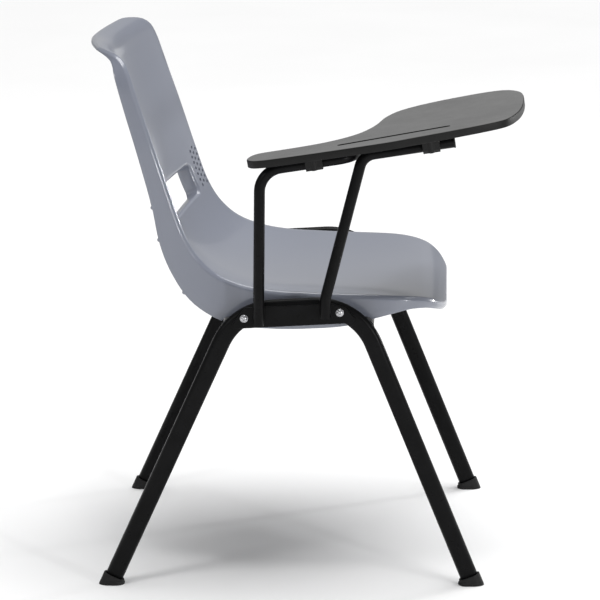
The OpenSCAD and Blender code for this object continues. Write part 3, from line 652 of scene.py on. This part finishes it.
def build_arm_tubes():
    rear_dir = unit(REAR_POST[1] - REAR_POST[0])
    front_dir = np.array([-dircos(FRONT_POST_LEAN)[1], dircos(FRONT_POST_LEAN)[0]])
    rear_corner = meet(REAR_POST[0], rear_dir, AXIS_0, RAIL)
    front_corner = meet(FRONT_KINK, front_dir, AXIS_0, RAIL)
    rear_turn, front_turn = turn(rear_dir, RAIL), turn(front_dir, RAIL)
    rear_cut = REAR_BEND * math.tan(math.radians(rear_turn / 2))
    front_cut = FRONT_BEND * math.tan(math.radians(front_turn / 2))
    kink_cut = KINK_R * math.tan(math.radians(FRONT_POST_LEAN / 2))
    rear = tube_path(yz(REAR_POST[0], POST_X), yz(rear_dir), (0, -1, 0), [
        np.linalg.norm(rear_corner - REAR_POST[0]) - rear_cut, (rear_turn, REAR_BEND, 0),
        REST_START - rail_length(rear_corner) - rear_cut, (90, REST_BEND, 90), REST_END], 2.5)
    front = tube_path(yz(FRONT_POST_FOOT, POST_X), (0, 0, 1), (0, -1, 0), [
        FRONT_KINK[1] - FRONT_POST_FOOT[1] - kink_cut, (FRONT_POST_LEAN, KINK_R, 0),
        np.linalg.norm(front_corner - FRONT_KINK) - front_cut - kink_cut, (front_turn, FRONT_BEND, 0),
        RAIL_END - rail_length(front_corner) - front_cut], 2.5)
    tubes = (("rear_post_and_rail", "rear_arm_tube", rear), ("front_post_and_rail", "front_arm_tube", front))
    for name, node, path in tubes:
        verts, faces = hollow(path, (1, 0, 0), circle(ARM_D / 2, 48), circle(ARM_D / 2 - ARM_WALL, 48))
        mesh_piece(name, verts, faces, "chair", "frame_paint", [node])


# ---------- tablet board ----------
BOARD_T, UNDER = 12.0, ARM_D / 2 + 3
BOARD_TOP_R, BOARD_LOW_R = 1.7, 1.0
BOARD_POINTS = np.array([
    [-44, 14], [-47, -30], [-48.5, -90], [-48, -160], [-41, -205], [-32, -256], [-24.5, -292],
    [-13, -328], [1, -345], [30, -357], [60, -364], [100, -369], [150, -371.5], [185, -370.5],
    [210, -366], [234, -352.5], [246, -333], [247, -302], [242, -272], [234.5, -240], [219, -202],
    [196, -173], [160, -154], [117, -143], [83, -130], [56, -112], [38, -88], [27, -60], [22.5, -30],
    [21, 5], [20, 31], [13, 44], [-2, 51], [-19, 52], [-34, 44], [-41, 31]], float)
GROOVE = np.array([[-12, -90], [9, -252]], float)
GROOVE_R = 4.5


def closed_curve(points, steps):
    out = []
    n = len(points)
    for i in range(n):
        p, q = points[i], points[(i + 1) % n]
        a, b = (q - points[i - 1]) / 2, (points[(i + 2) % n] - p) / 2
        for k in range(steps):
            u = k / steps
            out.append(p * (2 * u**3 - 3 * u * u + 1) + q * (3 * u * u - 2 * u**3)
                       + a * (u**3 - 2 * u * u + u) + b * (u**3 - u * u))
    return np.array(out)


def groove_cutter():
    """The pencil groove: a round-bottomed channel with round ends, as a capsule to cut with."""
    along = unit(GROOVE[1] - GROOVE[0])
    side = np.array([-along[1], along[0]])
    r = GROOVE_R
    rings = []
    for end, angles in ((GROOVE[0], np.linspace(-89.7, 0, 9)), (GROOVE[1], np.linspace(0, 89.7, 9))):
        for angle in angles:
            c, s = dircos(angle)
            ring = []
            for b in np.linspace(0, 2 * math.pi, 24, endpoint=False):
                flat = end + along * r * s + side * r * c * math.cos(b)
                ring.append([*flat, UNDER + BOARD_T + r * c * math.sin(b)])
            rings.append(on_axis(np.array(ring)))
    return loft(rings)


def build_board():
    outline = closed_curve(BOARD_POINTS, 6)
    inward = outline_normals(outline)
    if np.dot(inward[0], outline.mean(0) - outline[0]) < 0:
        inward = -inward
    # The rim's section, as (inset, height): a small round below, the side, a larger round above, and two
    # rings on the flat top that keep its shading flat.
    r = BOARD_LOW_R
    section = [(r - r * math.sin(a), r - r * math.cos(a)) for a in np.radians([0, 30, 60, 90])]
    r = BOARD_TOP_R
    section += [(0, BOARD_T - r - 0.2)]
    section += [(r - r * math.cos(a), BOARD_T - r + r * math.sin(a))
                for a in np.radians(np.arange(15, 91, 15))]
    section += [(9, BOARD_T), (9.5, BOARD_T)]
    rings = []
    for inset, height in section:
        p = outline + inward * inset
        rings.append(on_axis(np.stack([p[:, 0], p[:, 1], np.full(len(p), UNDER + height)], 1)))
    verts, faces = loft(rings)
    obj = mesh_piece("tablet", verts, faces, "tablet", "tablet_plastic", ["tablet_board"], 30)
    cut(obj, *groove_cutter(), 30)


# ---------- materials ----------
def new_material(name):
    mat = bpy.data.materials.new(name)
    mat.use_nodes = True
    nodes, links = mat.node_tree.nodes, mat.node_tree.links
    bsdf = nodes["Principled BSDF"]
    coords = nodes.new("ShaderNodeTexCoord")
    return mat, nodes, links, bsdf, coords.outputs["Object"]


def noise(nodes, links, where, scale, detail=3.0, rough=0.5, distortion=0.0):
    node = nodes.new("ShaderNodeTexNoise")
    node.inputs["Scale"].default_value = scale
    node.inputs["Detail"].default_value = detail
    node.inputs["Roughness"].default_value = rough
    node.inputs["Distortion"].default_value = distortion
    links.new(where, node.inputs["Vector"])
    return node.outputs["Fac"]


def ramp(nodes, links, fac, stops):
    node = nodes.new("ShaderNodeValToRGB")
    elements = node.color_ramp.elements
    while len(elements) < len(stops):
        elements.new(0.5)
    for e, (pos, value) in zip(elements, stops):
        e.position = pos
        e.color = (*value, 1) if not np.isscalar(value) else (value, value, value, 1)
    links.new(fac, node.inputs["Fac"])
    return node.outputs["Color"]


def bumps(nodes, links, bsdf, layers):
    """Layers of (height, strength, distance in metres), one on the other."""
    last = None
    for height, strength, distance in layers:
        node = nodes.new("ShaderNodeBump")
        node.inputs["Strength"].default_value = strength
        node.inputs["Distance"].default_value = distance
        links.new(height, node.inputs["Height"])
        if last is not None:
            links.new(last, node.inputs["Normal"])
        last = node.outputs["Normal"]
    links.new(last, bsdf.inputs["Normal"])


def shell_material():
    mat, nodes, links, bsdf, where = new_material("shell_plastic")
    broad = noise(nodes, links, where, 3.0, 2)
    colour = ramp(nodes, links, broad, [(0.3, (0.186, 0.200, 0.244)), (0.7, (0.197, 0.212, 0.258))])
    links.new(colour, bsdf.inputs["Base Color"])
    grain = noise(nodes, links, where, 900, 2)
    bumps(nodes, links, bsdf, [(grain, 0.05, 0.0002), (noise(nodes, links, where, 16, 1), 0.02, 0.002)])
    bsdf.inputs["Roughness"].default_value = 0.3
    bsdf.inputs["IOR"].default_value = 1.49
    # The polished mould leaves a thin glossy skin over the softer sheen of the plastic.
    bsdf.inputs["Coat Weight"].default_value = 0.7
    bsdf.inputs["Coat Roughness"].default_value = 0.11
    bsdf.inputs["Coat IOR"].default_value = 1.5
    return mat


def paint_material():
    mat, nodes, links, bsdf, where = new_material("frame_paint")
    tone = noise(nodes, links, where, 40, 3)
    links.new(ramp(nodes, links, tone, [(0.3, (0.003, 0.003, 0.0032)), (0.75, (0.0055, 0.0055, 0.006))]),
              bsdf.inputs["Base Color"])
    peel = noise(nodes, links, where, 420, 2)
    links.new(ramp(nodes, links, noise(nodes, links, where, 90, 3), [(0.3, 0.26), (0.7, 0.36)]),
              bsdf.inputs["Roughness"])
    bsdf.inputs["Specular IOR Level"].default_value = 0.09
    bumps(nodes, links, bsdf, [(peel, 0.18, 0.0004)])
    return mat


def plastic_material(name, low, high, rough):
    mat, nodes, links, bsdf, where = new_material(name)
    links.new(ramp(nodes, links, noise(nodes, links, where, 60, 4), [(0.3, low), (0.72, high)]),
              bsdf.inputs["Base Color"])
    wear = noise(nodes, links, where, 120, 3)
    links.new(ramp(nodes, links, wear, [(0.3, rough - 0.04), (0.7, rough + 0.05)]), bsdf.inputs["Roughness"])
    bumps(nodes, links, bsdf, [(noise(nodes, links, where, 1100, 2), 0.25, 0.0004)])
    bsdf.inputs["Specular IOR Level"].default_value = 0.2
    return mat


def tablet_material():
    mat, nodes, links, bsdf, where = new_material("tablet_plastic")
    cloud = noise(nodes, links, where, 9, 5, 0.6, 0.4)
    top = ramp(nodes, links, cloud, [(0.3, (0.122, 0.122, 0.122)), (0.72, (0.150, 0.150, 0.149))])
    # Painted light and shade: the writing face is painted paler, as if lit from above, and the rim is painted
    # near-black as painted shade. The two are told apart by the surface's own direction.
    painted_light_facing = nodes.new("ShaderNodeVectorMath")
    painted_light_facing.operation = "DOT_PRODUCT"
    c, s = dircos(RAIL_SLOPE)
    painted_light_facing.inputs[1].default_value = (0, s, c)
    coords = next(n for n in nodes if n.bl_idname == "ShaderNodeTexCoord")
    links.new(coords.outputs["Normal"], painted_light_facing.inputs[0])
    painted_shade_mix = nodes.new("ShaderNodeMix")
    painted_shade_mix.data_type = "RGBA"
    # The rim's near-black is painted shade on the board's sides.
    painted_shade_mix.inputs["A"].default_value = (0.007, 0.007, 0.007, 1)
    links.new(ramp(nodes, links, painted_light_facing.outputs["Value"], [(0.80, 0.0), (0.97, 1.0)]), painted_shade_mix.inputs["Factor"])
    links.new(top, painted_shade_mix.inputs["B"])
    links.new(painted_shade_mix.outputs["Result"], bsdf.inputs["Base Color"])
    bsdf.inputs["Specular IOR Level"].default_value = 0.2
    links.new(ramp(nodes, links, noise(nodes, links, where, 22, 5, 0.65), [(0.3, 0.40), (0.72, 0.52)]),
              bsdf.inputs["Roughness"])
    bumps(nodes, links, bsdf, [(noise(nodes, links, where, 700, 3), 0.35, 0.0005)])
    return mat


def zinc_material():
    mat, nodes, links, bsdf, where = new_material("zinc")
    tone = noise(nodes, links, where, 160, 4)
    links.new(ramp(nodes, links, tone, [(0.3, (0.42, 0.42, 0.44)), (0.7, (0.55, 0.55, 0.57))]),
              bsdf.inputs["Base Color"])
    bsdf.inputs["Metallic"].default_value = 1.0
    links.new(ramp(nodes, links, noise(nodes, links, where, 300, 3), [(0.3, 0.22), (0.7, 0.36)]),
              bsdf.inputs["Roughness"])
    bumps(nodes, links, bsdf, [(noise(nodes, links, where, 900, 2), 0.15, 0.0003)])
    return mat


# ---------- build ----------
build_shell()
build_nubs()
build_bosses()
build_arch(RIGHT, "right_arch", "right_leg_arch")
build_arch(LEFT, "left_arch", "left_leg_arch")
build_cross_tube(FRONT_CROSS, "front_cross", "front_cross_tube")
build_cross_tube(REAR_CROSS, "rear_cross", "rear_cross_tube")
build_arm_tubes()
build_board()
for node in ("front_right_glide", "front_left_glide", "rear_right_glide", "rear_left_glide"):
    rounded_copy(node.replace("glide", "boot"), node, 0.7, 6, "chair", "boot_plastic")
for node in ("rear_pivot_block", "front_pivot_block"):
    rounded_copy(node.replace("pivot_block", "saddle"), node, 0.5, 5, "tablet", "boot_plastic")
rounded_copy("side_plate", "arm_side_plate", 0.6, 3, "chair", "frame_paint")
rounded_copy("plate_bolts", "arm_bolts", 0.2, 3, "chair", "zinc")
rounded_copy("plate_washers", "arm_bolt_washers", 0.25, 2, "chair", "zinc")
rounded_copy("rail_cap", "front_rail_plug", 0.4, 4, "chair", "boot_plastic")
rounded_copy("rest_cap", "rest_buffer", 0.4, 4, "chair", "buffer_rubber")

MATERIALS = {
    "shell_plastic": shell_material(), "frame_paint": paint_material(), "tablet_plastic": tablet_material(),
    "boot_plastic": plastic_material("boot_plastic", (0.010, 0.010, 0.010), (0.017, 0.017, 0.017), 0.5),
    "buffer_rubber": plastic_material("buffer_rubber", (0.01, 0.01, 0.01), (0.016, 0.016, 0.015), 0.72),
    "pad_plastic": plastic_material("pad_plastic", (0.62, 0.61, 0.57), (0.72, 0.71, 0.67), 0.45),
    "zinc": zinc_material()}
SLOT_OF = {s["node"]: s["material_slot"] for s in frame["record"]["subparts"]}
for node, obj in frame["nodes"].items():
    obj.data.materials.clear()
    obj.data.materials.append(MATERIALS[SLOT_OF[node]])
for obj in bpy.context.scene.objects:
    if obj.type == "MESH" and "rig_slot" in obj and "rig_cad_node" not in obj:
        obj.data.materials.clear()
        obj.data.materials.append(MATERIALS[obj["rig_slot"]])


# ---------- floor, light and camera ----------
FLOOR_HALF = 30000
FOCAL_PX, PICTURE_PX, SENSOR = 2911, 600, 36


def floor():
    corners = [(x * FLOOR_HALF, y * FLOOR_HALF, 0) for x, y in ((-1, -1), (1, -1), (1, 1), (-1, 1))]
    obj = new_object("floor", corners, [(0, 1, 2, 3)])
    mat, nodes, links, bsdf, where = new_material("floor")
    tone = noise(nodes, links, where, 2, 2)
    links.new(ramp(nodes, links, tone, [(0.3, 0.86), (0.7, 0.88)]), bsdf.inputs["Base Color"])
    bsdf.inputs["Roughness"].default_value = 0.9
    obj.data.materials.append(mat)


def area_light(name, location, target, size, power):
    """A square lamp that lights the chair but doesn't show in the picture."""
    data = bpy.data.lights.new(name, "AREA")
    data.shape, data.size, data.energy = "SQUARE", size, power
    obj = bpy.data.objects.new(name, data)
    obj.location = location
    obj.rotation_euler = (Vector(target) - Vector(location)).to_track_quat("-Z", "Y").to_euler()
    obj.visible_camera = False
    bpy.context.scene.collection.objects.link(obj)


def sun_light(name, towards, spread_deg, strength):
    """A very soft sun, as from a large overhead panel. towards points from the object to it."""
    data = bpy.data.lights.new(name, "SUN")
    data.angle, data.energy = math.radians(spread_deg), strength
    obj = bpy.data.objects.new(name, data)
    obj.rotation_euler = Vector(towards).to_track_quat("Z", "Y").to_euler()
    bpy.context.scene.collection.objects.link(obj)


def world(strength):
    w = bpy.data.worlds.new("studio")
    w.use_nodes = True
    background = w.node_tree.nodes["Background"]
    background.inputs["Color"].default_value = (1, 1, 1, 1)
    background.inputs["Strength"].default_value = strength
    bpy.context.scene.world = w


def camera():
    """The photo's own angle: degrees ahead of the side view and above the floor, distance in metres."""
    ahead, above, distance, roll = 3.03, 14.17, 4.71, math.radians(-0.86)
    target = Vector((0, -0.007, 0.397))
    ca, sa = dircos(ahead)
    ce, se = dircos(above)
    away = Vector((-ce * ca, -ce * sa, se))
    forward = -away
    right = forward.cross(Vector((0, 0, 1))).normalized()
    up = right.cross(forward)
    right, up = math.cos(roll) * right + math.sin(roll) * up, math.cos(roll) * up - math.sin(roll) * right
    data = bpy.data.cameras.new("camera")
    data.sensor_width, data.lens = SENSOR, SENSOR * FOCAL_PX / PICTURE_PX
    obj = bpy.data.objects.new("camera", data)
    basis = Matrix((right, up, away)).transposed().to_4x4()
    basis.translation = target + away * distance
    obj.matrix_world = basis
    bpy.context.scene.collection.objects.link(obj)
    bpy.context.scene.camera = obj


floor()
world(0.26)
sun_light("sky", (0.12, -0.2, 1), 50, 2.75)
area_light("left", (-2.4, 2.6, 1.9), (0, 0.1, 0.6), 0.6, 14)
area_light("right", (-2.6, -3.0, 2.0), (0, -0.1, 0.5), 0.5, 9)
area_light("far", (3.6, 0.2, 1.9), (0, 0, 0.6), 2.4, 4)
# Small lamps whose reflections draw the bright lines along the two edges of the shell's ledge.
area_light("line_outer", (-3.0, -2.6, 0.85), (-0.2, 0.2, 0.7), 0.16, 25)
area_light("line_inner", (1.8, -3.2, 0.95), (-0.2, 0.2, 0.7), 0.16, 27)
area_light("line_seat", (-1.0, 0.0, 3.6), (-0.2, -0.1, 0.46), 0.4, 18)
camera()
bpy.context.scene.view_settings.view_transform = "Standard"
